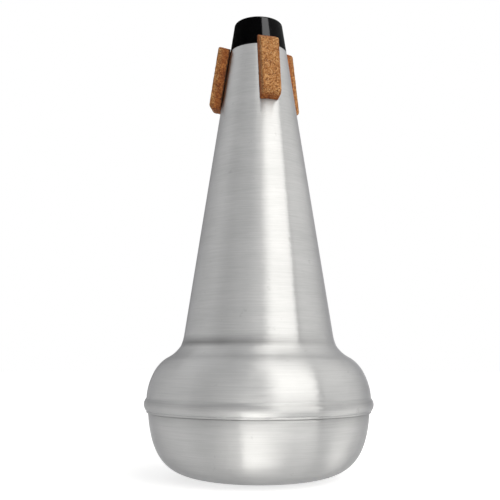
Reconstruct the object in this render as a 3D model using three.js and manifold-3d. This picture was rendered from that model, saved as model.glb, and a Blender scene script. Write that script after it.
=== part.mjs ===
// A trombone straight mute: a spun aluminium cone and bowl locked by a rolled bead, a black
// plastic collar in the small end, and three cork strips that hold the mute in the bell.
// Millimetres, +Z up. The origin is the middle of the flat that the mute stands on, and the
// front of the mute faces -Y.

import * as THREE from 'three';
import { mergeVertices } from 'three/addons/utils/BufferGeometryUtils.js';
import Module from 'manifold-3d';

const wasm = await Module();
wasm.setup();

// Driving dimensions of the two shells. Heights are measured up from the flat.
const bodyHeight = 233; // to the cone's cut edge
const coneTopRadius = 16; // cone at that edge
const neckHeight = 75; // where the straight cone begins
const neckRadius = 39.9; // cone at that height
const neckRise = 12.5; // height of the hollow curve under the cone
const neckFlare = 8.2; // how far that curve spreads before it turns over
const creaseDrop = 6.6; // below the straight cone, where the former's edge leaves a crease
const creaseFlare = 1.8; // how far the curve has spread at the crease
const bodyRadius = 59.4; // shoulder just above the bead
const seamHeight = 34; // ledge on the bowl that the bead's edge closes on
const bowlSetback = 0.9; // how far the bowl stays inside the shoulder's line
const flatRadius = 20; // flat in the middle of the bowl
const wall = 0.9; // sheet thickness
const seatGap = 0.3; // clearance between pieces that touch

// The rolled bead that locks the shells, and the hem of the bowl above it.
const beadRadius = 4.9; // outside of the roll
const beadReach = 1.35; // how far the bead stands out from the shoulder
const beadCurlAngle = THREE.MathUtils.degToRad(49); // roll below its widest place
const hemLength = 1.5;

// The collar in the small end.
const collarHeight = 17; // above the cone's cut edge
const collarWall = 2.4; // at its rim
const collarRound = 1.2;
const spigotLength = 12; // inside the cone
const boreChamfer = 0.6;

// The cork strips. An azimuth turns from the front towards +X. Each strip is cut and glued on
// by hand: it stands above the cone's edge by its own share of its length, and its ends lean
// off the square, in degrees, so that the glued side is the longer one where a lean is positive.
const corkLength = 36;
const corkWidth = 10.4;
const corkThickness = 6.4;
const corkTipRound = 1.4; // outer corner at the cone's top
const corkFootRound = 2.6; // outer corner that meets the bell last
const corkEdge = 0.5; // worn long edges
const corkStrips = [
	{ name: 'cork_strip_front', azimuth: 16, overrunShare: 0.04, tipLean: 36, footLean: 9 },
	{ name: 'cork_strip_right', azimuth: 131, overrunShare: 0.08, tipLean: 8, footLean: 4 },
	{ name: 'cork_strip_left', azimuth: 263, overrunShare: 0.07, tipLean: -9, footLean: 3 },
];

// Directions of the outline at the ends of its curves, and the handle lengths of each
// curve as shares of its chord, first end first.
const bowlRimLean = THREE.MathUtils.degToRad(4.6); // off the vertical
const turnAngle = THREE.MathUtils.degToRad(27.3); // above the horizontal, where shoulder meets neck
const leanBelowCrease = THREE.MathUtils.degToRad(33); // off the vertical
const leanAboveCrease = THREE.MathUtils.degToRad(24);
const bowlShares = [0.482, 0.554];
const shoulderShares = [0.21, 0.4];
const neckShares = [0.33, 0.33];
const filletShares = [0.38, 0.3];

// Steps of the round stretches.
const turnSteps = 64;
const bowlSteps = 11;
const shoulderSteps = 8;
const neckSteps = 4;
const filletSteps = 3;
const beadSteps = 7;
const roundSteps = 4;

const coneAngle = Math.atan2(neckRadius - coneTopRadius, bodyHeight - neckHeight);
const coneRadiusAt = (height) => coneTopRadius + (bodyHeight - height) * Math.tan(coneAngle);
const edgeRadius = coneTopRadius - wall / Math.cos(coneAngle); // inside of the cone's mouth

// The bead is an arc about this point, in radius and height.
const beadCentre = new THREE.Vector2(
	bodyRadius + beadReach - beadRadius,
	seamHeight + seatGap + beadRadius * Math.sin(beadCurlAngle),
);

const heading = (angle, length) => new THREE.Vector2(length, 0).rotateAround(new THREE.Vector2(), angle);

// A smooth curve that leaves one point at one heading and reaches the next at another.
function sweep(from, fromAngle, to, toAngle, shares, steps) {
	const chord = from.distanceTo(to);
	const curve = new THREE.CubicBezierCurve(
		from,
		from.clone().add(heading(fromAngle, shares[0] * chord)),
		to.clone().sub(heading(toAngle, shares[1] * chord)),
		to,
	);
	return curve.getPoints(steps);
}

function arc(centre, radius, fromAngle, toAngle, steps) {
	return new THREE.EllipseCurve(centre.x, centre.y, radius, radius, fromAngle, toAngle).getPoints(steps);
}

// The outline moved to its left by one thickness, corners mitred, so that a sheet keeps
// the same wall all along.
function parallel(outline, distance) {
	return outline.map((point, i) => {
		const before = point.clone().sub(outline[Math.max(i - 1, 0)]).normalize();
		const after = outline[Math.min(i + 1, outline.length - 1)].clone().sub(point).normalize();
		const along = before.clone().add(after).normalize();
		const mitre = distance / along.dot(i > 0 ? before : after);
		return point.clone().add(new THREE.Vector2(-along.y, along.x).multiplyScalar(mitre));
	});
}

// Turns a closed outline about the axis. Points on the axis stay where they are.
function turned(outline) {
	return new THREE.LatheGeometry([...outline, outline[0]], turnSteps);
}

function sheet(outline) {
	return turned([...outline, ...parallel(outline, wall).reverse()]);
}

// Outside of the shell, from the bead's cut edge up to the cone's mouth.
function coneShell() {
	const beadTop = Math.acos(1 - beadReach / beadRadius);
	const bead = arc(beadCentre, beadRadius, -beadCurlAngle, beadTop, beadSteps);
	const shoulderFoot = bead.pop();
	const turn = new THREE.Vector2(neckRadius + neckFlare, neckHeight - neckRise);
	const crease = new THREE.Vector2(neckRadius + creaseFlare, neckHeight - creaseDrop);
	const neck = new THREE.Vector2(neckRadius, neckHeight);
	const upright = Math.PI / 2;
	const inward = Math.PI - turnAngle;
	const shoulder = sweep(shoulderFoot, upright, turn, inward, shoulderShares, shoulderSteps);
	const hollow = sweep(turn, inward, crease, upright + leanBelowCrease, neckShares, neckSteps).slice(1);
	const fillet = sweep(
		crease, upright + leanAboveCrease, neck, upright + coneAngle, filletShares, filletSteps,
	).slice(1);
	const mouth = new THREE.Vector2(coneTopRadius, bodyHeight);
	return sheet([...bead, ...shoulder, ...hollow, ...fillet, mouth]);
}

// Outside of the bowl, from its middle up to the hem. Under the bead the rim steps in by
// one wall, follows the bead inside the shell, and ends in a short hem.
function baseBowl() {
	const rim = new THREE.Vector2(bodyRadius - bowlSetback, seamHeight);
	const tuckRadius = rim.x - wall;
	const hemRadius = bodyRadius - wall - seatGap;
	const foldRadius = beadRadius - wall - seatGap;
	const foldFoot = Math.acos((tuckRadius - beadCentre.x) / foldRadius);
	const foldTop = Math.acos((hemRadius - beadCentre.x) / foldRadius);
	const fold = arc(beadCentre, foldRadius, -foldFoot, foldTop, beadSteps);
	const flatEdge = new THREE.Vector2(flatRadius, 0);
	const outline = [
		...sweep(flatEdge, 0, rim, Math.PI / 2 - bowlRimLean, bowlShares, bowlSteps),
		new THREE.Vector2(tuckRadius, seamHeight),
		...fold,
		new THREE.Vector2(hemRadius, fold.at(-1).y + hemLength),
	];
	const inside = parallel(outline, wall).reverse();
	return turned([new THREE.Vector2(), ...outline, ...inside, new THREE.Vector2(0, wall)]);
}

// The collar rests on the cone's edge and carries on its taper. Its spigot fills the mouth.
function endCollar() {
	const foot = bodyHeight + seatGap;
	const top = bodyHeight + collarHeight;
	const rimRadius = coneRadiusAt(top);
	const boreRadius = rimRadius - collarWall;
	const round = Math.min(collarRound, collarWall / 2);
	const roundCentre = new THREE.Vector2(coneRadiusAt(top - round) - round, top - round);
	const spigotRadius = edgeRadius - seatGap;
	const spigotFoot = bodyHeight - spigotLength;
	return turned([
		new THREE.Vector2(boreRadius, spigotFoot + boreChamfer),
		new THREE.Vector2(boreRadius + boreChamfer, spigotFoot),
		new THREE.Vector2(spigotRadius, spigotFoot),
		new THREE.Vector2(spigotRadius, foot),
		new THREE.Vector2(coneRadiusAt(foot), foot),
		...arc(roundCentre, round, 0, Math.PI / 2, roundSteps),
		new THREE.Vector2(boreRadius, top),
	]);
}

function toSolid(geometry) {
	geometry.deleteAttribute('normal');
	geometry.deleteAttribute('uv');
	const merged = mergeVertices(geometry);
	return new wasm.Manifold(new wasm.Mesh({
		numProp: 3,
		vertProperties: Float32Array.from(merged.attributes.position.array),
		triVerts: Uint32Array.from(merged.index.array),
	}));
}

function toGeometry(solid) {
	const mesh = solid.getMesh();
	const geometry = new THREE.BufferGeometry();
	geometry.setAttribute('position', new THREE.BufferAttribute(mesh.vertProperties, 3));
	geometry.setIndex(new THREE.BufferAttribute(mesh.triVerts, 1));
	return geometry;
}

// A strip on the +X side of the cone: a flat block whose ends lean as they were cut, with
// rounded outer corners, laid along the cone and hollowed underneath by the cone itself.
function corkStrip(overrun, tipLean, footLean) {
	const sink = corkWidth / 2; // deep enough for the cone to shape the whole underside
	const endRise = (lean, out) => (corkThickness / 2 - out) * Math.tan(lean);
	const roundRise = (lean, round) => endRise(lean, corkThickness - round) - round / Math.cos(lean);
	const tip = new THREE.Vector2(corkThickness - corkTipRound, roundRise(tipLean, corkTipRound));
	const foot = new THREE.Vector2(
		corkThickness - corkFootRound,
		-corkLength - roundRise(footLean, corkFootRound),
	);
	const side = new THREE.Shape();
	side.moveTo(-sink, -corkLength - endRise(footLean, -sink));
	side.lineTo(-sink, endRise(tipLean, -sink));
	side.absarc(tip.x, tip.y, corkTipRound, Math.PI / 2 - tipLean, 0, true);
	side.absarc(foot.x, foot.y, corkFootRound, 0, footLean - Math.PI / 2, true);
	const block = new THREE.ExtrudeGeometry(side, {
		depth: corkWidth - 2 * corkEdge,
		bevelThickness: corkEdge,
		bevelSize: corkEdge,
		bevelOffset: -corkEdge,
		bevelSegments: 1,
		curveSegments: roundSteps,
	});
	const top = bodyHeight + overrun * Math.cos(coneAngle);
	block.translate(seatGap, 0, corkEdge - corkWidth / 2);
	block.rotateX(Math.PI / 2);
	block.rotateY(-coneAngle);
	block.translate(coneRadiusAt(top), 0, top);

	const gap = seatGap / Math.cos(coneAngle);
	const low = top - corkLength - corkWidth;
	const high = top + corkWidth;
	const core = turned([
		new THREE.Vector2(0, low),
		new THREE.Vector2(coneRadiusAt(low) + gap, low),
		new THREE.Vector2(coneRadiusAt(high) + gap, high),
		new THREE.Vector2(0, high),
	]);
	core.rotateX(Math.PI / 2);
	return toGeometry(toSolid(block).subtract(toSolid(core)));
}

function spunAluminium() {
	return new THREE.MeshStandardMaterial({ color: 0xc4c5c7, roughness: 0.36, metalness: 1 });
}

function blackPlastic() {
	return new THREE.MeshStandardMaterial({ color: 0x0b0b0c, roughness: 0.16, metalness: 0 });
}

function cork() {
	return new THREE.MeshStandardMaterial({ color: 0xb27a45, roughness: 0.88, metalness: 0 });
}

const group = new THREE.Group();

function add(name, geometry, material) {
	const mesh = new THREE.Mesh(geometry, material);
	mesh.name = name;
	group.add(mesh);
	return mesh;
}

// A lathe turns about Y, so the round pieces are stood up on +Z.
for (const [name, geometry, material] of [
	['cone_shell', coneShell(), spunAluminium()],
	['base_bowl', baseBowl(), spunAluminium()],
	['end_collar', endCollar(), blackPlastic()],
]) {
	add(name, geometry, material).rotation.x = Math.PI / 2;
}

for (const { name, azimuth, overrunShare, tipLean, footLean } of corkStrips) {
	const leans = [tipLean, footLean].map(THREE.MathUtils.degToRad);
	const strip = add(name, corkStrip(overrunShare * corkLength, ...leans), cork());
	strip.rotation.z = THREE.MathUtils.degToRad(azimuth - 90);
}

export default group;
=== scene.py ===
import math

import bpy
from mathutils import Euler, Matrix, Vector
from mathutils.geometry import interpolate_bezier


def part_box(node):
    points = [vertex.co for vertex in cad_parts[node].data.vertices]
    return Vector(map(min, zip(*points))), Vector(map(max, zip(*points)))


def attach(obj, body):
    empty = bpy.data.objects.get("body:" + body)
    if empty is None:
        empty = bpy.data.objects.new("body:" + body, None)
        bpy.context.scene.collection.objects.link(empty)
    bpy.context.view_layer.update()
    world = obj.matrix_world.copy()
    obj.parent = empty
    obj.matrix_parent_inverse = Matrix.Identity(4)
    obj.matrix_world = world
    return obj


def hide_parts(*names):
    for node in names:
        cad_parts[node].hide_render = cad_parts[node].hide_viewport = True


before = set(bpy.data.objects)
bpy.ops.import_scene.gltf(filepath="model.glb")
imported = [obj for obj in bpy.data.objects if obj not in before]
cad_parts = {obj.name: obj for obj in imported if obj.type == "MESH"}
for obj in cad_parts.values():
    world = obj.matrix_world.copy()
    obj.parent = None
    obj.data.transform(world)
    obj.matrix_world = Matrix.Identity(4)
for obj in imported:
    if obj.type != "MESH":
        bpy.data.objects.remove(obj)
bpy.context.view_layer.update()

# The long shell. A disc of aluminium sheet is spun on a lathe over a former into a cone with a
# domed shoulder, brushed while it still turns, and its lower edge is rolled into the bead that
# grips the bowl.
wall = 0.0009
body_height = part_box("cone_shell")[1].z
cone_top_radius = 0.016
neck_height = 0.075
neck_radius = 0.0399
crease_height = 0.0684  # a former's edge left this line where the cone meets the neck
crease_radius = 0.0417
crease_lean = math.radians(33)  # off the vertical, just below the line
crease_rise = math.radians(24)  # and just above it
turn_height = 0.0625  # where the shoulder turns over into the hollow neck
turn_radius = 0.0481
turn_angle = math.radians(27.3)
body_radius = 0.0594
bead_radius = 0.0049
bead_reach = 0.00133
bead_curl = math.radians(49)
bead_groove = math.radians(37)  # the bead's round ends here, at a groove above the lip
seam_height = 0.0337
seam_gap = 0.00012
bead_rise = 0.0006  # how far above the seam the bead's round would begin
seat_gap = 0.0003
lip_radius = 0.05942
lip_height = 0.001
groove_depth = 0.00024
foot_round = 0.0011  # where the shoulder comes down on the bead
top_round = 0.00028
# How far a curve keeps to its first and its last heading, as shares of its chord.
shoulder_shares = (0.21, 0.4)
neck_shares = (0.33, 0.33)
fillet_shares = (0.38, 0.3)
bead_steps = 18
shoulder_steps = 28
neck_steps = 12
foot_round_steps = 6
edge_steps = 3
turn_steps = 288
merge_gap = 1e-6
cut_corner = math.radians(60)  # a sheet's cut edge turns by more than this
smooth_turn = math.radians(35)  # what turns by less is shaded smooth
# The metal's greys and roughness along the brush's lines, the lines, and slower bands. Spacings
# and depths are in metres, and a scale is a noise's features to the metre.
dark_line = (0.38, 0.38, 0.379, 1)
light_line = (0.445, 0.445, 0.443, 1)
edge_tint = (0.6, 0.6, 0.61, 1)
line_roughness = (0.29, 0.37)
line_spacing = 0.0005
line_breaks = 2.2
line_strength = 0.6
line_depth = 6e-6
band_spacing = 0.008
band_breaks = 0.5
band_shades = (0.96, 1.04)
stroke_spacing = 0.0008
stroke_breaks = 9.0
stroke_turn = 0.03
cloud_scale = 38.0
cloud_shades = (0.95, 1.05)
smudge_scale = 150.0
smudge_rim = (0.66, 0.78)
smudge_shade = 0.8
patch_scale = 14.0
patch_rim = (0.38, 0.62)
patch_shares = (0.1, 1.2)
noise_middle = (0.3, 0.7)  # where most of a noise's values lie
tone_middle = (0.32, 0.68)
axis_guard = 1e-5  # keeps the lines' radius off zero
brush_turn = 0.25  # of a full turn, so that reflections stretch along the axis
# Painted shade and dark reflections: from, darkest at, to, how much darker, and whether in patches.
painted_shade_bands = (
    (0.0674, 0.0698, 0.0741, 0.42, True),
    (0.0372, 0.0400, 0.0425, 0.2, False),
    (0.0280, 0.0336, 0.0345, 0.14, False),
)

cone_angle = math.atan2(neck_radius - cone_top_radius, body_height - neck_height)
bead_middle = Vector((
    body_radius + bead_reach - bead_radius,
    0,
    seam_height + bead_rise + bead_radius * math.sin(bead_curl),
))


def heading(angle, length):
    return Vector((math.cos(angle) * length, 0, math.sin(angle) * length))


def sweep(start, start_angle, end, end_angle, shares, steps):
    """A smooth curve that leaves start at one heading and reaches end at another."""
    chord = (end - start).length
    leaving = start + heading(start_angle, shares[0] * chord)
    arriving = end - heading(end_angle, shares[1] * chord)
    return interpolate_bezier(start, leaving, arriving, end, steps)


def arc(middle, radius, start_angle, end_angle, steps):
    turn = (end_angle - start_angle) / steps
    return [middle + heading(start_angle + turn * i, radius) for i in range(steps + 1)]


def draw(name, outline):
    """Draws an outline beside the axis, point by point, as one chain of edges."""
    bpy.ops.object.select_all(action="DESELECT")
    bpy.ops.mesh.primitive_plane_add(size=wall, location=(0, 0, 0))
    piece = bpy.context.object
    piece.name = name
    piece.data.name = name
    bpy.ops.object.mode_set(mode="EDIT")
    bpy.ops.mesh.select_mode(type="VERT")
    bpy.ops.mesh.merge(type="CENTER")
    bpy.ops.transform.translate(value=outline[0])
    for here, there in zip(outline, outline[1:]):
        bpy.ops.mesh.extrude_region_move(TRANSFORM_OT_translate={"value": there - here})
    bpy.ops.object.mode_set(mode="OBJECT")
    return piece


def round_corner(piece, corner, reach, steps):
    """Rounds the drawn outline where it turns at a corner."""
    for edge in piece.data.edges:
        edge.select = False
    nearest = min(piece.data.vertices, key=lambda vertex: (vertex.co - corner).length)
    for vertex in piece.data.vertices:
        vertex.select = vertex == nearest
    bpy.ops.object.mode_set(mode="EDIT")
    bpy.ops.mesh.bevel(affect="VERTICES", offset=reach, segments=steps)
    bpy.ops.object.mode_set(mode="OBJECT")


def turn_on_axis(piece):
    """Turns the drawn outline about the mute's axis and closes the seam."""
    bpy.ops.object.mode_set(mode="EDIT")
    bpy.ops.mesh.select_all(action="SELECT")
    bpy.ops.mesh.spin(steps=turn_steps, angle=math.tau, center=(0, 0, 0), axis=(0, 0, 1))
    bpy.ops.mesh.select_all(action="SELECT")
    bpy.ops.mesh.remove_doubles(threshold=merge_gap)
    bpy.ops.mesh.normals_make_consistent(inside=False)
    bpy.ops.object.mode_set(mode="OBJECT")


def thicken(piece, thickness):
    """Gives the turned skin its wall, inwards."""
    sheet = piece.modifiers.new("sheet", "SOLIDIFY")
    sheet.thickness = thickness
    sheet.offset = -1
    sheet.use_even_offset = True
    bpy.ops.object.modifier_apply(modifier=sheet.name)


def soften(piece, width, sharper_than, steps):
    """Breaks the cut edges that are sharper than an angle, and shades the rest smooth."""
    edge = piece.modifiers.new("broken_edge", "BEVEL")
    edge.limit_method = "ANGLE"
    edge.angle_limit = sharper_than
    edge.width = width
    edge.segments = steps
    edge.use_clamp_overlap = True
    bpy.ops.object.modifier_apply(modifier=edge.name)
    bpy.ops.object.shade_smooth_by_angle(angle=smooth_turn)


def add_node(tree, kind, inputs=None, **settings):
    """Adds a node. Each input is given a value, or the socket that feeds it."""
    node = tree.nodes.new(kind)
    for key, value in settings.items():
        setattr(node, key, value)
    for key, value in (inputs or {}).items():
        if isinstance(value, bpy.types.NodeSocket):
            tree.links.new(value, node.inputs[key])
        else:
            node.inputs[key].default_value = value
    return node


def math_node(tree, operation, *values):
    return add_node(tree, "ShaderNodeMath", dict(enumerate(values)), operation=operation).outputs[0]


def vector_node(tree, operation, *values):
    return add_node(
        tree, "ShaderNodeVectorMath", dict(enumerate(values)), operation=operation
    ).outputs["Vector"]


def remap(tree, value, low, high, to_low=0.0, to_high=1.0):
    bounds = {"Value": value, "From Min": low, "From Max": high, "To Min": to_low, "To Max": to_high}
    return add_node(tree, "ShaderNodeMapRange", bounds).outputs["Result"]


def mix_colour(tree, factor, one, other):
    """Mixes two colours. They are the node's inputs 6 and 7, and its output 2."""
    return add_node(tree, "ShaderNodeMix", {0: factor, 6: one, 7: other}, data_type="RGBA").outputs[2]


def add_noise(tree, place, scale, detail, roughness=0.5):
    inputs = {"Vector": place, "Scale": scale, "Detail": detail, "Roughness": roughness}
    return add_node(tree, "ShaderNodeTexNoise", inputs).outputs


def add_bump(tree, height, strength, depth):
    inputs = {"Height": height, "Strength": strength, "Distance": depth}
    return add_node(tree, "ShaderNodeBump", inputs).outputs["Normal"]


def locate(tree):
    """A point's object coordinates, their X, Y and Z, and its distance from the mute's axis."""
    place = add_node(tree, "ShaderNodeTexCoord").outputs["Object"]
    xyz = add_node(tree, "ShaderNodeSeparateXYZ", {0: place}).outputs
    flat = add_node(tree, "ShaderNodeCombineXYZ", {"X": xyz["X"], "Y": xyz["Y"]})
    off_axis = add_node(tree, "ShaderNodeVectorMath", {0: flat.outputs[0]}, operation="LENGTH")
    return place, xyz, off_axis.outputs["Value"]


def turning_lines():
    """A group that draws what a tool or a brush leaves on a turning piece: lines round the
    axis that fade in and out along their way. Tone and Height are about 0.5 on average."""
    group = bpy.data.node_groups.new("turning_lines", "ShaderNodeTree")
    for name in ("Spacing", "Breaks"):
        group.interface.new_socket(name, in_out="INPUT", socket_type="NodeSocketFloat")
    for name in ("Tone", "Height"):
        group.interface.new_socket(name, in_out="OUTPUT", socket_type="NodeSocketFloat")
    inside = add_node(group, "NodeGroupInput").outputs
    outside = add_node(group, "NodeGroupOutput").inputs

    _, xyz, off_axis = locate(group)
    radius = math_node(group, "MAXIMUM", off_axis, axis_guard)
    across = math_node(group, "DIVIDE", radius, inside["Spacing"])
    along = math_node(group, "DIVIDE", xyz["Z"], inside["Spacing"])
    cosine = math_node(group, "DIVIDE", xyz["X"], radius)
    sine = math_node(group, "DIVIDE", xyz["Y"], radius)
    turned = math_node(group, "MULTIPLY", cosine, inside["Breaks"])
    turned_too = math_node(group, "MULTIPLY", sine, inside["Breaks"])
    ring = add_node(group, "ShaderNodeCombineXYZ", {"X": across, "Y": along, "Z": turned})
    noise = add_node(
        group, "ShaderNodeTexNoise",
        {"Vector": ring.outputs[0], "W": turned_too, "Scale": 1.0, "Detail": 3.0, "Roughness": 0.62},
        noise_dimensions="4D",
    ).outputs["Fac"]
    group.links.new(remap(group, noise, *tone_middle), outside["Tone"])
    group.links.new(noise, outside["Height"])
    return group


turning_group = turning_lines()


def add_lines(tree, spacing, breaks):
    """Places the turning lines in a material, at a spacing of its own."""
    inputs = {"Spacing": spacing, "Breaks": breaks}
    return add_node(tree, "ShaderNodeGroup", inputs, node_tree=turning_group).outputs


def spun_aluminium():
    """Bare aluminium brushed on the lathe. The brush's lines stretch every reflection along the mute's
    axis and fray its edges. Slow bands and old handling cloud the metal a little. Painted shade and dark
    reflections darken its colour in the crease, beside the bead and under the bead at the seam."""
    material = bpy.data.materials.new("spun_aluminium")
    material.use_nodes = True
    tree = material.node_tree
    shader = tree.nodes["Principled BSDF"]
    lines = add_lines(tree, line_spacing, line_breaks)
    bands = add_lines(tree, band_spacing, band_breaks)
    strokes = add_lines(tree, stroke_spacing, stroke_breaks)
    place, xyz, _ = locate(tree)
    cloud = add_noise(tree, place, cloud_scale, 4.0, 0.55)["Fac"]
    smudge = add_noise(tree, place, smudge_scale, 3.0, 0.7)["Fac"]
    # Patches that break up the crease's painted shade.
    patches = add_node(
        tree, "ShaderNodeTexNoise", {"Vector": place, "W": 1.0, "Scale": patch_scale, "Detail": 1.0},
        noise_dimensions="4D",
    ).outputs["Fac"]
    line_colour = mix_colour(tree, lines["Tone"], dark_line, light_line)
    shade = math_node(
        tree, "MULTIPLY",
        remap(tree, bands["Tone"], 0.0, 1.0, *band_shades),
        remap(tree, cloud, *noise_middle, *cloud_shades),
    )
    shade = math_node(tree, "MULTIPLY", shade, remap(tree, smudge, *smudge_rim, 1.0, smudge_shade))
    patchy = remap(tree, patches, *patch_rim, *patch_shares)
    # Painted shade and dark reflections: each band darkens the metal's colour, some in patches.
    for low, peak, high, depth, in_patches in painted_shade_bands:
        above = remap(tree, xyz["Z"], low, peak)
        below = remap(tree, xyz["Z"], high, peak)
        here = math_node(tree, "MULTIPLY", math_node(tree, "MINIMUM", above, below), depth)
        if in_patches:
            here = math_node(tree, "MULTIPLY", here, patchy)
        shade = math_node(tree, "MULTIPLY", shade, math_node(tree, "SUBTRACT", 1.0, here))
    grey = add_node(tree, "ShaderNodeCombineXYZ", {"X": shade, "Y": shade, "Z": shade})
    colour = vector_node(tree, "MULTIPLY", line_colour, grey.outputs[0])
    rough = remap(tree, lines["Tone"], 0.0, 1.0, *line_roughness)
    bump = add_bump(tree, lines["Height"], line_strength, line_depth)
    tangent = add_node(tree, "ShaderNodeTangent", direction_type="RADIAL", axis="Z").outputs["Tangent"]
    turn_aside = remap(tree, strokes["Height"], *noise_middle, -stroke_turn, stroke_turn)
    frayed = add_node(
        tree, "ShaderNodeVectorMath", {0: tangent, "Scale": turn_aside}, operation="SCALE"
    ).outputs["Vector"]
    normal = vector_node(tree, "NORMALIZE", vector_node(tree, "ADD", bump, frayed))
    tree.links.new(colour, shader.inputs["Base Color"])
    tree.links.new(rough, shader.inputs["Roughness"])
    tree.links.new(normal, shader.inputs["Normal"])
    tree.links.new(tangent, shader.inputs["Tangent"])
    shader.inputs["Metallic"].default_value = 1.0
    shader.inputs["Specular Tint"].default_value = edge_tint
    shader.inputs["Anisotropic"].default_value = 1.0
    shader.inputs["Anisotropic Rotation"].default_value = brush_turn
    return material


aluminium = spun_aluminium()

upright = math.pi / 2
lip_foot = Vector((lip_radius, 0, seam_height + seam_gap))
lip_top = lip_foot + Vector((0, 0, lip_height))
bead_top = math.acos(1 - bead_reach / bead_radius)
bead = arc(bead_middle, bead_radius, -bead_groove, bead_top, bead_steps)
groove = (lip_top + bead[0]) / 2 - Vector((groove_depth, 0, 0))
turn = Vector((turn_radius, 0, turn_height))
crease = Vector((crease_radius, 0, crease_height))
neck = Vector((neck_radius, 0, neck_height))
mouth = Vector((cone_top_radius, 0, body_height))
shoulder = sweep(bead[-1], upright, turn, math.pi - turn_angle, shoulder_shares, shoulder_steps)
curl = sweep(turn, math.pi - turn_angle, crease, upright + crease_lean, neck_shares, neck_steps)
rise = sweep(crease, upright + crease_rise, neck, upright + cone_angle, fillet_shares, neck_steps)
shell = draw("spun_shell", [lip_foot, lip_top, groove, *bead, *shoulder[1:], *curl[1:], *rise[1:], mouth])
round_corner(shell, bead[-1], foot_round, foot_round_steps)
turn_on_axis(shell)
thicken(shell, wall)
soften(shell, top_round, cut_corner, edge_steps)
shell.data.materials.append(aluminium)
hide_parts("cone_shell")
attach(shell, "root")

# The bowl that closes the wide end. It is spun from the same sheet, steps in by one wall at the
# seam, and runs up inside the rolled bead to a short hem, so that the bead locks it.
flat_radius = 0.020
bowl_setback = 0.0009
bowl_rim_lean = math.radians(4.6)
bowl_shares = (0.482, 0.554)
hem_length = 0.0015
rim_round = 0.00025
rim_round_steps = 3
hem_round = 0.00015
hem_round_steps = 2
fold_steps = 14
bowl_steps = 40
flat_steps = 6

rim = Vector((body_radius - bowl_setback, 0, seam_height))
tuck = rim - Vector((wall, 0, 0))
fold_radius = bead_radius - wall - seat_gap
hem_radius = body_radius - wall - seat_gap
fold_foot = math.acos((tuck.x - bead_middle.x) / fold_radius)
fold_top = math.acos((hem_radius - bead_middle.x) / fold_radius)
fold = arc(bead_middle, fold_radius, -fold_foot, fold_top, fold_steps)
hem = fold[-1] + Vector((0, 0, hem_length))
middle = Vector((0, 0, 0))
flat_edge = Vector((flat_radius, 0, 0))
side = sweep(flat_edge, 0, rim, upright - bowl_rim_lean, bowl_shares, bowl_steps)
flat = [middle.lerp(flat_edge, step / flat_steps) for step in range(flat_steps)]
bowl = draw("spun_bowl", [*flat, *side, tuck, *fold, hem])
round_corner(bowl, rim, rim_round, rim_round_steps)
turn_on_axis(bowl)
thicken(bowl, wall)
soften(bowl, hem_round, cut_corner, hem_round_steps)
bowl.data.materials.append(aluminium)
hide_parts("base_bowl")
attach(bowl, "root")

# The collar, moulded in glossy black plastic. It rests on the shell's cut edge, carries on the
# cone's taper, and is glued in by a short spigot. Its bore is the mute's only opening.
collar_height = 0.017
collar_wall = 0.0024
collar_round = 0.0012
collar_round_steps = 8
collar_break = 0.0002
collar_corner = math.radians(40)  # its moulded corners turn by more than this
spigot_length = 0.012
bore_chamfer = 0.0006
gloss_black = (0.0012, 0.0012, 0.0014, 1)
scuffed_black = (0.006, 0.006, 0.007, 1)
ripple_scale = 420.0
ripple_strength = 0.25
ripple_depth = 2e-5
smear_scale = 130.0
smear_rim = (0.35, 0.7)
polish_roughness = (0.07, 0.14)
scuff_spacing = 0.0005
scuff_breaks = 7.0
scuff_rim = (0.8, 1.0)
scuff_roughness = 0.1
plastic_ior = 1.5


def cone_radius_at(height):
    return cone_top_radius + (body_height - height) * math.tan(cone_angle)


def black_plastic():
    """Black plastic, glossy from the mould, with its faint ripple and hairline scuffs."""
    material = bpy.data.materials.new("black_plastic")
    material.use_nodes = True
    tree = material.node_tree
    shader = tree.nodes["Principled BSDF"]
    place = add_node(tree, "ShaderNodeTexCoord").outputs["Object"]
    ripple = add_noise(tree, place, ripple_scale, 2.0)["Fac"]
    smear = add_noise(tree, place, smear_scale, 5.0, 0.6)["Fac"]
    scuffs = add_lines(tree, scuff_spacing, scuff_breaks)
    hairline = remap(tree, scuffs["Tone"], *scuff_rim)
    polish = remap(tree, smear, *smear_rim, *polish_roughness)
    rough = math_node(tree, "ADD", polish, math_node(tree, "MULTIPLY", hairline, scuff_roughness))
    colour = mix_colour(tree, hairline, gloss_black, scuffed_black)
    bump = add_bump(tree, ripple, ripple_strength, ripple_depth)
    tree.links.new(colour, shader.inputs["Base Color"])
    tree.links.new(rough, shader.inputs["Roughness"])
    tree.links.new(bump, shader.inputs["Normal"])
    shader.inputs["IOR"].default_value = plastic_ior
    return material


collar_foot = body_height + seat_gap
collar_top = body_height + collar_height
rim_radius = cone_radius_at(collar_top)
bore_radius = rim_radius - collar_wall
spigot_radius = cone_top_radius - wall / math.cos(cone_angle) - seat_gap
spigot_foot = body_height - spigot_length
outline = [
    Vector((radius, 0, height))
    for radius, height in (
        (bore_radius, spigot_foot + bore_chamfer),
        (bore_radius + bore_chamfer, spigot_foot),
        (spigot_radius, spigot_foot),
        (spigot_radius, collar_foot),
        (cone_radius_at(collar_foot), collar_foot),
        (rim_radius, collar_top),
        (bore_radius, collar_top),
        (bore_radius, spigot_foot + bore_chamfer),
    )
]
collar = draw("end_collar_moulding", outline)
round_corner(collar, Vector((rim_radius, 0, collar_top)), collar_round, collar_round_steps)
turn_on_axis(collar)
soften(collar, collar_break, collar_corner, edge_steps)
collar.data.materials.append(black_plastic())
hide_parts("end_collar")
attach(collar, "root")

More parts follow.
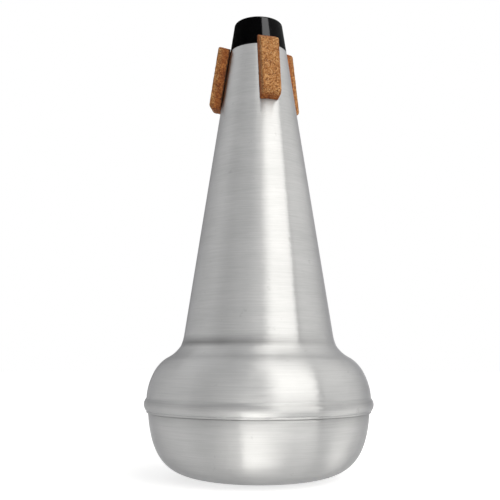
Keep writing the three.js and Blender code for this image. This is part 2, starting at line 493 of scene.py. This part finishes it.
# Three strips of pressed cork, cut from a block, hollowed underneath to sit on the cone, and
# glued by hand, so that no two stand quite alike. The bell presses on their outer faces.
cork_length = 0.036
cork_width = 0.0104
cork_thickness = 0.0064
cork_tip_round = 0.0014
cork_tip_steps = 6
cork_foot_round = 0.0026
cork_foot_steps = 8
cork_edge = 0.0008
cork_edge_steps = 3
cork_voxel = 0.0002
cork_cut_reach = 0.007  # how far from an end a slanting cut still leans the cork's grain
# Name, place round the cone, how far it stands above the shell's edge as a share of its
# length, and how the saw leaned at the tip and at the foot.
cork_strips = (
    ("front", math.radians(16), 0.073, math.radians(36), math.radians(9)),
    ("right", math.radians(131), 0.08, math.radians(8), math.radians(4)),
    ("left", math.radians(263), 0.07, math.radians(-9), math.radians(3)),
)
# What stands out of their faces: name, kind of noise, size and depth.
cork_reliefs = (
    ("lumps_", "CLOUDS", 0.0022, 0.00014),
    ("grains_", "VORONOI", 0.00075, 0.00018),
)
# The granules' browns from dark to light, each with its place on the ramp.
cork_browns = (
    (0.15, (0.14, 0.038, 0.008, 1)),
    (0.42, (0.375, 0.14, 0.032, 1)),
    (0.8, (0.66, 0.36, 0.138, 1)),
)
dust_brown = (0.2, 0.07, 0.02, 1)
binder_brown = (0.2, 0.075, 0.022, 1)
fleck_cream = (0.86, 0.6, 0.3, 1)
pore_brown = (0.05, 0.018, 0.007, 1)
# Dark glue with painted shade, along the cone.
glue_shade_brown = (0.02, 0.008, 0.004, 1)
# The sides' painted shade, as a tint.
side_shade_tint = (0.78, 0.54, 0.37)
granule_scale = 1200.0
crumb_scale = 2600.0
granule_share = 0.55  # of a granule's brown, where the crumbs in it give the rest
wander_scale = 620.0
wander_reach = 0.0007
dust_scale = 2600.0
dust_rim = (0.35, 0.7)
dust_share = 0.35
joint_width = 0.09
joint_share = 0.6
fleck_scale = 1550.0
fleck_rim = (0.32, 0.2)
fleck_pick = (0.6, 0.75)
fleck_share = 0.75
pore_scale = 1450.0
pore_rim = (0.63, 0.68)
pore_share = 0.8
side_shade_depths = (0.0027, 0.0006)  # below the outer face, where the sides' painted shade ends
glue_shade_rim = (0.0006, 0.0013)  # above the cone
glue_shade_wander = 0.0003
glue_shade_share = 0.92
glue_shade_foot = (0.002, 0.006)  # above the strip's foot, where no glue or painted shade shows
joint_sink = -0.5
pore_sink = -1.0
dust_rise = 0.5
cork_strength = 0.7
cork_depth = 0.00012
cork_roughness = (0.72, 0.92)
cork_specular = 0.3


def select_edges(piece, wanted):
    """Selects the edges whose two ends both pass a test."""
    bpy.context.tool_settings.mesh_select_mode = (False, True, False)
    for vertex in piece.data.vertices:
        vertex.select = False
    for face in piece.data.polygons:
        face.select = False
    for edge in piece.data.edges:
        ends = [piece.data.vertices[i].co for i in edge.vertices]
        edge.select = all(wanted(end) for end in ends)


def bevel_selected(reach, steps):
    bpy.ops.object.mode_set(mode="EDIT")
    bpy.ops.mesh.bevel(affect="EDGES", offset=reach, segments=steps)
    bpy.ops.object.mode_set(mode="OBJECT")


def lean_ends(piece, tip_lean, foot_lean):
    """Leans a strip's two cut ends. Where a lean is positive, the glued side is the longer."""
    outwards = Vector((math.cos(cone_angle), 0, math.sin(cone_angle)))
    along = Vector((-math.sin(cone_angle), 0, math.cos(cone_angle)))
    glued_tip = Vector((cone_radius_at(body_height), 0, body_height))
    for vertex in piece.data.vertices:
        offset = vertex.co - glued_tip
        inwards = cork_thickness / 2 - offset.dot(outwards)
        below_tip = -offset.dot(along)
        near_tip = max(0, 1 - below_tip / cork_cut_reach)
        near_foot = max(0, 1 - (cork_length - below_tip) / cork_cut_reach)
        lean = math.tan(tip_lean) * near_tip - math.tan(foot_lean) * near_foot
        vertex.co += along * inwards * lean


def roughen(piece, name, kind, size, depth):
    """Lets grains of one size stand out of the cork, or fall out of it."""
    grain = bpy.data.textures.new(name, kind)
    grain.noise_scale = size
    relief = piece.modifiers.new(name, "DISPLACE")
    relief.texture = grain
    relief.texture_coords = "LOCAL"
    relief.strength = depth
    relief.mid_level = 0.5
    bpy.ops.object.modifier_apply(modifier=relief.name)


def pressed_cork():
    """Granules of cork pressed with a binder: each has its own brown, with pale flecks, dark pores and
    dark joints. Painted shade darkens and reddens the sides, and painted shade with dark glue runs along
    the cone."""
    material = bpy.data.materials.new("cork")
    material.use_nodes = True
    tree = material.node_tree
    shader = tree.nodes["Principled BSDF"]
    place, xyz, off_axis = locate(tree)
    wander = add_noise(tree, place, wander_scale, 2.0)
    dust = add_noise(tree, place, dust_scale, 3.0)["Fac"]
    pore = remap(tree, add_noise(tree, place, pore_scale, 2.0)["Fac"], *pore_rim)
    pushed = vector_node(tree, "MULTIPLY_ADD", wander["Color"], [wander_reach] * 3, place)
    granule, crumb, fleck = (
        add_node(tree, "ShaderNodeTexVoronoi", {"Vector": pushed, "Scale": scale}).outputs
        for scale in (granule_scale, crumb_scale, fleck_scale)
    )
    granule_tint, crumb_tint, fleck_tint = (
        add_node(tree, "ShaderNodeSeparateColor", {0: cells["Color"]}).outputs[channel]
        for cells, channel in ((granule, "Red"), (crumb, "Green"), (fleck, "Blue"))
    )
    to_joint = add_node(
        tree, "ShaderNodeTexVoronoi", {"Vector": pushed, "Scale": granule_scale},
        feature="DISTANCE_TO_EDGE",
    ).outputs["Distance"]
    joint = remap(tree, to_joint, 0.0, joint_width, 1.0, 0.0)

    tone = math_node(
        tree, "ADD",
        math_node(tree, "MULTIPLY", granule_tint, granule_share),
        math_node(tree, "MULTIPLY", crumb_tint, 1 - granule_share),
    )
    ramp = add_node(tree, "ShaderNodeValToRGB", {"Fac": tone})
    stops = ramp.color_ramp.elements
    dark, between, light = cork_browns
    stops[0].position, stops[0].color = dark
    stops[1].position, stops[1].color = light
    stops.new(between[0]).color = between[1]
    dusty = remap(tree, dust, *dust_rim, 0.0, dust_share)
    colour = mix_colour(tree, dusty, ramp.outputs["Color"], dust_brown)
    colour = mix_colour(tree, math_node(tree, "MULTIPLY", joint, joint_share), colour, binder_brown)
    pale = math_node(
        tree, "MULTIPLY",
        remap(tree, fleck["Distance"], *fleck_rim),
        remap(tree, fleck_tint, *fleck_pick, 0.0, fleck_share),
    )
    colour = mix_colour(tree, pale, colour, fleck_cream)
    colour = mix_colour(tree, math_node(tree, "MULTIPLY", pore, pore_share), colour, pore_brown)

    foot = body_height - cork_length
    taper = remap(tree, xyz["Z"], foot, body_height, cone_radius_at(foot), cone_radius_at(body_height))
    off_cone = math_node(tree, "SUBTRACT", off_axis, taper)
    # Painted shade: below the outer face, the sides are darkened and reddened.
    outer_face_share = remap(tree, off_cone, *(cork_thickness - depth for depth in side_shade_depths))
    colour = mix_colour(tree, outer_face_share, vector_node(tree, "MULTIPLY", colour, side_shade_tint), colour)
    # Painted shade with dark glue where the cork meets the cone, fading out towards the strip's foot.
    ragged = remap(tree, wander["Fac"], *noise_middle, -glue_shade_wander, glue_shade_wander)
    glue_and_shade = math_node(
        tree, "MULTIPLY",
        remap(tree, math_node(tree, "ADD", off_cone, ragged), *glue_shade_rim, glue_shade_share, 0.0),
        remap(tree, xyz["Z"], *(foot + height for height in glue_shade_foot)),
    )
    colour = mix_colour(tree, glue_and_shade, colour, glue_shade_brown)

    hollow = math_node(
        tree, "ADD",
        math_node(tree, "MULTIPLY", joint, joint_sink),
        math_node(tree, "MULTIPLY", pore, pore_sink),
    )
    height = math_node(tree, "ADD", hollow, math_node(tree, "MULTIPLY", dust, dust_rise))
    bump = add_bump(tree, height, cork_strength, cork_depth)
    rough = remap(tree, tone, 0.0, 1.0, *cork_roughness)
    tree.links.new(colour, shader.inputs["Base Color"])
    tree.links.new(rough, shader.inputs["Roughness"])
    tree.links.new(bump, shader.inputs["Normal"])
    shader.inputs["Specular IOR Level"].default_value = cork_specular
    return material


cork = pressed_cork()
sunk = cork_width / 2  # deep enough for the cone to shape the whole underside
outer = seat_gap + cork_thickness
bpy.ops.object.select_all(action="DESELECT")
bpy.ops.mesh.primitive_cube_add(size=1, location=(0, 0, 0))
blank = bpy.context.object
blank.name = "cork_blank"
bpy.ops.object.mode_set(mode="EDIT")
bpy.ops.transform.resize(value=(outer + sunk, cork_width, cork_length))
bpy.ops.transform.translate(value=((outer - sunk) / 2, 0, -cork_length / 2))
bpy.ops.object.mode_set(mode="OBJECT")
select_edges(blank, lambda end: end.x > 0 and end.z > -cork_length / 2)
bevel_selected(cork_tip_round, cork_tip_steps)
select_edges(blank, lambda end: end.x > 0 and end.z < cork_edge - cork_length)
bevel_selected(cork_foot_round, cork_foot_steps)
for side in (-1, 1):
    select_edges(blank, lambda end: end.y * side > cork_edge)
    bevel_selected(cork_edge, cork_edge_steps)
blank.rotation_euler.y = -cone_angle
blank.location = (cone_radius_at(body_height), 0, body_height)
bpy.ops.object.transform_apply(location=True, rotation=True, scale=True)

clear = cork_length  # how far the former runs past a strip's tip
bpy.ops.object.select_all(action="DESELECT")
bpy.ops.mesh.primitive_cone_add(
    vertices=turn_steps,
    radius1=cone_radius_at(body_height - 2 * clear) + seat_gap / math.cos(cone_angle),
    radius2=cone_radius_at(body_height + clear) + seat_gap / math.cos(cone_angle),
    depth=3 * clear,
    location=(0, 0, body_height - clear / 2),
)
former = bpy.context.object
bpy.context.view_layer.objects.active = blank
hollow = blank.modifiers.new("hollow", "BOOLEAN")
hollow.operation = "DIFFERENCE"
hollow.object = former
bpy.ops.object.modifier_apply(modifier=hollow.name)
bpy.data.objects.remove(former)
blank.data.remesh_voxel_size = cork_voxel
bpy.ops.object.voxel_remesh()

strips = []
for name, azimuth, overrun_share, tip_lean, foot_lean in cork_strips:
    bpy.ops.object.select_all(action="DESELECT")
    blank.select_set(True)
    bpy.context.view_layer.objects.active = blank
    bpy.ops.object.duplicate()
    strip = bpy.context.object
    strip.name = "cork_pad_" + name
    strip.data.name = strip.name
    lean_ends(strip, tip_lean, foot_lean)
    slide = overrun_share * cork_length
    strip.location = (-slide * math.sin(cone_angle), 0, slide * math.cos(cone_angle))
    bpy.ops.object.transform_apply(location=True)
    strip.rotation_euler.z = azimuth - math.pi / 2
    bpy.ops.object.transform_apply(rotation=True)
    for relief, kind, size, depth in cork_reliefs:
        roughen(strip, relief + name, kind, size, depth)
    bpy.ops.object.shade_smooth()
    strip.data.materials.append(cork)
    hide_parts("cork_strip_" + name)
    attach(strip, "root")
    strips.append(strip)
bpy.data.objects.remove(blank)

# The camera stands low and close, as the photograph's did, and looks up along the mute.
camera_height = 0.06224
camera_distance = 0.4195
camera_yaw = -0.0111
camera_pitch = 0.1383
camera_roll = 0.0011
camera_lens = 55.58  # millimetres, on Blender's 36 mm sensor
camera_near = 0.01

lens = bpy.data.cameras.new("camera")
lens.lens = camera_lens
lens.clip_start = camera_near
camera = bpy.data.objects.new("camera", lens)
bpy.context.scene.collection.objects.link(camera)
camera.location = (0, -camera_distance, camera_height)
aim = Euler((math.pi / 2 + camera_pitch, 0, -camera_yaw))
aim.rotate_axis("Z", camera_roll)
camera.rotation_euler = aim
bpy.context.scene.camera = camera
bpy.context.scene.view_settings.view_transform = "Standard"

# The studio: a white table in a white room, a tall softbox at the front right, and bounce cards
# on the table. The gloss black collar has two lamps of its own, as for a picture of polished
# things, because it would mirror the whole white room.
table_radius = 3.0
table_drop = 0.0001  # keeps the table's face clear of the mute's flat
table_steps = 96
table_colour = (0.75, 0.75, 0.75, 1)
camera_lifts = (0.6, 0.7)  # near and far, so that the camera sees it white
mirror_lifts = (0.6, 0.42)
table_lift_reach = (0.1, 0.7)
room_level = 0.5  # what the room adds to matt surfaces
dark_side = 0.02  # what the collar, which the room's cloth doesn't light, still mirrors of it
white = (1, 1, 1, 1)
warm_white = (1, 0.982, 0.935, 1)
mid_height = 0.12
card_steps = 16
card_height = 0.0004  # the lowest card above the table
card_gap = 0.0002
bounce_reach = 0.2
flag_distance = 0.9


def glow(name, colour, strength, soft_left=0.0, soft_right=0.0, on_matt=1.0, solid=False):
    """A lamp's cloth or a card, with a soft edge at either side. What isn't solid adds its
    light to what is behind it. Matt surfaces get a share of the strength."""
    material = bpy.data.materials.new(name)
    material.use_nodes = True
    tree = material.node_tree
    tree.nodes.clear()
    place = add_node(tree, "ShaderNodeTexCoord").outputs["UV"]
    across = add_node(tree, "ShaderNodeSeparateXYZ", {0: place}).outputs["X"]
    cover = 1.0
    for edge, inner in ((0.0, soft_left), (1.0, 1.0 - soft_right)):
        if edge != inner:
            fade = add_node(
                tree, "ShaderNodeMapRange", {"Value": across, "From Min": edge, "From Max": inner},
                interpolation_type="SMOOTHSTEP",
            ).outputs["Result"]
            cover = math_node(tree, "MULTIPLY", cover, fade)
    matt_ray = add_node(tree, "ShaderNodeLightPath").outputs["Is Diffuse Ray"]
    level = remap(tree, matt_ray, 0.0, 1.0, strength, strength * on_matt)
    if not solid:
        level = math_node(tree, "MULTIPLY", level, cover)
    lit = add_node(tree, "ShaderNodeEmission", {"Color": colour, "Strength": level}).outputs[0]
    clear = add_node(tree, "ShaderNodeBsdfTransparent").outputs[0]
    if solid:
        shader = add_node(tree, "ShaderNodeMixShader", {0: cover, 1: clear, 2: lit})
    else:
        shader = add_node(tree, "ShaderNodeAddShader", {0: lit, 1: clear})
    add_node(tree, "ShaderNodeOutputMaterial", {"Surface": shader.outputs[0]})
    return material


def way(azimuth, elevation=0):
    """A direction, from two angles in degrees. The azimuth turns from the front towards +X."""
    turn = math.radians(azimuth)
    climb = math.radians(elevation)
    level = math.cos(climb)
    return Vector((math.sin(turn) * level, -math.cos(turn) * level, math.sin(climb)))


def lit_pieces(name, pieces):
    """The pieces that a lamp lights, where it leaves the others dark."""
    lit = bpy.data.collections.new(name)
    for piece in pieces:
        lit.objects.link(piece)
    return lit


def add_card(name, material):
    """A flat card, and each of its points with its shares of the way across and up."""
    bpy.ops.object.select_all(action="DESELECT")
    bpy.ops.mesh.primitive_grid_add(x_subdivisions=card_steps, y_subdivisions=card_steps, size=1)
    card = bpy.context.object
    card.name = name
    card.data.materials.append(material)
    card.visible_camera = False
    return card, [(vertex, vertex.co.x + 0.5, vertex.co.y + 0.5) for vertex in card.data.vertices]


def hang_card(name, material, azimuths, elevations, distance, lit, leans=(0, 0)):
    """A curved card round the mute's middle, between two azimuths and two elevations. At its
    top, its left and right edges have turned by their leans. It lights the pieces in lit."""
    card, points = add_card(name, material)
    low, high = elevations
    for vertex, across, up in points:
        left, right = (edge + up * lean for edge, lean in zip(azimuths, leans))
        azimuth = left + across * (right - left)
        elevation = low + up * (high - low)
        vertex.co = Vector((0, 0, mid_height)) + way(azimuth, elevation) * distance
    card.light_linking.receiver_collection = lit
    return card


bpy.ops.object.select_all(action="DESELECT")
bpy.ops.mesh.primitive_circle_add(
    vertices=table_steps, radius=table_radius, fill_type="NGON", location=(0, 0, -table_drop)
)
table = bpy.context.object
table.name = "table"
table_top = bpy.data.materials.new("pale_table")
table_top.use_nodes = True
tree = table_top.node_tree
tree.nodes.clear()
path = add_node(tree, "ShaderNodeLightPath").outputs
matt = add_node(tree, "ShaderNodeBsdfDiffuse", {"Color": table_colour})
place = add_node(tree, "ShaderNodeTexCoord").outputs["Object"]
reach = add_node(tree, "ShaderNodeVectorMath", {0: place}, operation="LENGTH").outputs["Value"]
looked_at = remap(tree, reach, *table_lift_reach, *camera_lifts)
mirrored = remap(tree, reach, *table_lift_reach, *mirror_lifts)
lifted = math_node(
    tree, "MAXIMUM",
    math_node(tree, "MULTIPLY", path["Is Camera Ray"], looked_at),
    math_node(tree, "MULTIPLY", path["Is Glossy Ray"], mirrored),
)
lift = add_node(tree, "ShaderNodeEmission", {"Strength": lifted})
both = add_node(tree, "ShaderNodeAddShader", {0: matt.outputs[0], 1: lift.outputs[0]})
add_node(tree, "ShaderNodeOutputMaterial", {"Surface": both.outputs[0]})
table.data.materials.append(table_top)

world = bpy.data.worlds.new("studio")
bpy.context.scene.world = world
world.use_nodes = True
tree = world.node_tree
tree.nodes.clear()
path = add_node(tree, "ShaderNodeLightPath").outputs
seen = math_node(tree, "MAXIMUM", path["Is Camera Ray"], path["Is Glossy Ray"])
seen = math_node(tree, "MAXIMUM", seen, path["Is Transmission Ray"])
bright = remap(tree, path["Is Glossy Ray"], 0.0, 1.0, 1.0, dark_side)
level = math_node(tree, "MULTIPLY", remap(tree, seen, 0.0, 1.0, room_level, 1.0), bright)
sky = add_node(tree, "ShaderNodeBackground", {"Color": white, "Strength": level})
add_node(tree, "ShaderNodeOutputWorld", {"Surface": sky.outputs[0]})

key_cloth = glow("key_cloth", warm_white, 1.87, soft_left=0.36, soft_right=0.12)
fill_cloth = glow("fill_cloth", warm_white, 0.6, soft_right=0.62, on_matt=0.5)
edge_cloth = glow("edge_cloth", white, 0.25, on_matt=0.0, solid=True)
top_cloth = glow("top_cloth", warm_white, 1.7, soft_left=0.4, soft_right=0.3, on_matt=0.0)
overhead_cloth = glow("overhead_cloth", white, 0.75, on_matt=0.0)
back_cloth = glow("back_cloth", white, 0.3, soft_left=0.3, soft_right=0.3, on_matt=0.0)
strip_cloth = glow("strip_cloth", white, 2.85, on_matt=0.0)
rim_cloth = glow("rim_cloth", white, 0.13, on_matt=0.0)
room_cloth = glow("room_cloth", white, 1.0 - dark_side, on_matt=0.0)
room_cloth.cycles.emission_sampling = "NONE"

# What hangs round the mute: name, cloth, azimuths, elevations, distance from the mute's middle,
# and how its left and right edges lean. The room's cloth and the softbox leave the collar dark.
metal_and_cork = lit_pieces("metal_and_cork", [table, shell, bowl, *strips])
hung_round = (
    ("room", room_cloth, (-180, 180), (-4, 89.9), 2.9, (0, 0)),
    ("key_softbox", key_cloth, (4, 61), (-3, 84), 1.2, (-4, 24)),
    ("key_top", top_cloth, (-25, 32), (58, 88), 1.21, (0, 0)),
    ("overhead", overhead_cloth, (-180, 180), (76, 89.9), 1.22, (0, 0)),
    ("back_fill", back_cloth, (150, 290), (35, 89), 1.4, (0, 0)),
    ("side_fill", fill_cloth, (68, 172), (8, 70), 1.3, (0, 0)),
    ("softbox_edge", edge_cloth, (62, 66), (-5, 22), 1.19, (0, 0)),
)
for name, cloth, azimuths, elevations, distance, leans in hung_round:
    hang_card(name, cloth, azimuths, elevations, distance, metal_and_cork, leans)

# The collar's own strip light at the front, and a faint one at its side and back.
collar_alone = lit_pieces("collar_alone", [collar])
collar_lamps = (
    ("strip_light", strip_cloth, (18.3, 51.7), (-3, 84), 1.0),
    ("rim_light", rim_cloth, (51.7, 175), (-3, 84), 1.01),
)
for name, cloth, azimuths, elevations, distance in collar_lamps:
    hang_card(name, cloth, azimuths, elevations, distance, collar_alone)

# Grey flags, one at the front left and two behind the mute, where they draw its edges: name,
# azimuths, elevations, strength, and how soft their sides are.
flags = (
    ("left_front_flag", (-85, -30), (-4, 40), 0.86, 0.5),
    ("left_back_flag", (-179, -152), (-10, 60), 0.6, 0.0),
    ("right_back_flag", (164, 179), (-10, 60), 0.8, 0.0),
)
for name, azimuths, elevations, strength, soft in flags:
    cloth = glow(name + "_cloth", white, strength, soft, soft, on_matt=0.0, solid=True)
    flag = hang_card(name, cloth, azimuths, elevations, flag_distance, metal_and_cork)
    flag.visible_diffuse = False
    flag.visible_shadow = False

# Cards that lie on the table as fans, a grey one and three bright ones: name, azimuths, nearest
# edge, strength, how soft the left and right sides are, and whether the card is solid.
bounce_cards = (
    ("left_shade", (-58, -14), 0.12, 0.72, 0.5, 0.5, True),
    ("wide_bounce", (-32, 14), 0.057, 0.9, 0.75, 0.4, False),
    ("narrow_bounce", (-12, 22), 0.057, 0.95, 0.15, 0.55, False),
    ("side_bounce", (41, 74), 0.057, 0.75, 0.45, 0.5, False),
)
for name, azimuths, near, strength, soft_left, soft_right, solid in bounce_cards:
    tint = white if solid else warm_white
    foil = glow(name + "_foil", tint, strength, soft_left, soft_right, on_matt=0.0, solid=solid)
    bounce, points = add_card(name, foil)
    left, right = azimuths
    for vertex, across, out in points:
        azimuth = (left + across * (right - left)) * (1 + out)
        reach = near + out * (bounce_reach - near)
        vertex.co = Vector((0, 0, card_height)) + way(azimuth) * reach
    card_height += card_gap
    bounce.visible_diffuse = not solid
    bounce.visible_shadow = not solid
